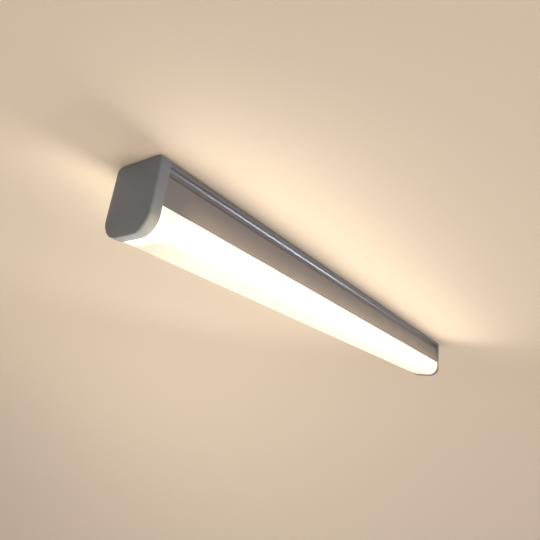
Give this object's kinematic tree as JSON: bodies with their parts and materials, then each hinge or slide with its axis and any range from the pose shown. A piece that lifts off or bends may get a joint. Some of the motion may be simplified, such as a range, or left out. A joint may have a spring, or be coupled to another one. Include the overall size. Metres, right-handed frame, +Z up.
{
  "type": "waterproof led batten",
  "caption": "Slim sealed ceiling batten: grey extruded housing, rounded opal light cover, plug-in end caps, cable gland and sliding back clips.",
  "frame": {"origin": "on the ceiling plane, midway between the two clips' screw holes", "axes": "+X along the length towards the cable gland, -Y the front, +Z up into the ceiling"},
  "size_m": [0.6159, 0.045, 0.053],
  "materials": {
    "aluminium": "satin grey anodised extrusion",
    "opal": "opal light cover",
    "cap_plastic": "fine moulded grain",
    "silicone": "soft matt silicone",
    "gland_rubber": "matt black rubber",
    "gland_plastic": "moulded nylon",
    "spring_steel": "rolled strip",
    "led_board": "white solder mask",
    "led_package": "phosphor in a white frame",
    "white_plastic": "moulded",
    "circuit_board": "green solder mask",
    "ferrite": "sintered ferrite",
    "winding_tape": "polyester tape",
    "can_sleeve": "printed-free sleeve",
    "copper": "enamelled copper turns",
    "chip_epoxy": "moulded epoxy",
    "fuse_glass": "ceramic tube with plated ends",
    "terminal_body": "moulded polyamide",
    "button_live": "moulded",
    "button_neutral": "moulded",
    "button_earth": "moulded",
    "brass": "plain",
    "zinc_steel": "zinc plated",
    "wire_brown": "insulation",
    "wire_blue": "insulation",
    "wire_green": "insulation",
    "wire_red": "insulation",
    "wire_black": "insulation"
  },
  "bodies": {
    "housing": {"housing_extrusion": "aluminium", "diffuser": "opal", "diffuser_seal_front": "silicone", "diffuser_seal_rear": "silicone", "led_board": "led_board", "leds": "led_package", "led_connector": "white_plastic", "driver_tray": "white_plastic", "tray_screws": "zinc_steel", "driver_board": "circuit_board", "driver_connectors": "white_plastic", "transformer_core": "ferrite", "transformer_winding": "winding_tape", "driver_capacitors": "can_sleeve", "driver_choke": "copper", "driver_chips": "chip_epoxy", "driver_fuse": "fuse_glass", "terminal_block": "terminal_body", "terminal_springs": "spring_steel", "earth_screw": "zinc_steel", "earth_tag": "brass", "wire_live": "wire_brown", "wire_neutral": "wire_blue", "wire_earth": "wire_green", "led_lead_positive": "wire_red", "led_lead_negative": "wire_black"},
    "left_cap": {"end_cap_left": "cap_plastic", "cap_gasket_left": "silicone"},
    "right_cap": {"end_cap_right": "cap_plastic", "cap_gasket_right": "silicone", "gland_seal": "gland_rubber"},
    "gland_nut": {"gland_nut": "gland_plastic"},
    "left_clip": {"mounting_clip_left": "spring_steel"},
    "right_clip": {"mounting_clip_right": "spring_steel"},
    "live_button": {"terminal_button_live": "button_live"},
    "neutral_button": {"terminal_button_neutral": "button_neutral"},
    "earth_button": {"terminal_button_earth": "button_earth"}
  },
  "joints": [
    {"name": "left_cap_pull", "type": "slide", "parent": "housing", "child": "left_cap", "axis": [-1, 0, 0], "range_m": [0, 0.03]},
    {"name": "right_cap_pull", "type": "slide", "parent": "housing", "child": "right_cap", "axis": [1, 0, 0], "range_m": [0, 0.03]},
    {"name": "gland_nut_turn", "type": "hinge", "parent": "right_cap", "child": "gland_nut", "pos_m": [0.308, 0, -0.018], "axis": [1, 0, 0], "continuous": true},
    {"name": "left_clip_slide", "type": "slide", "parent": "housing", "child": "left_clip", "axis": [1, 0, 0], "range_m": [-0.07, 0.185]},
    {"name": "right_clip_slide", "type": "slide", "parent": "housing", "child": "right_clip", "axis": [1, 0, 0], "range_m": [-0.185, 0.07]},
    {"name": "live_button_press", "type": "slide", "parent": "housing", "child": "live_button", "axis": [-1, 0, 0], "range_m": [0, 0.0012], "stiffness_N_per_m": 1500},
    {"name": "neutral_button_press", "type": "slide", "parent": "housing", "child": "neutral_button", "axis": [-1, 0, 0], "range_m": [0, 0.0012], "stiffness_N_per_m": 1500},
    {"name": "earth_button_press", "type": "slide", "parent": "housing", "child": "earth_button", "axis": [-1, 0, 0], "range_m": [0, 0.0012], "stiffness_N_per_m": 1500}
  ]
}
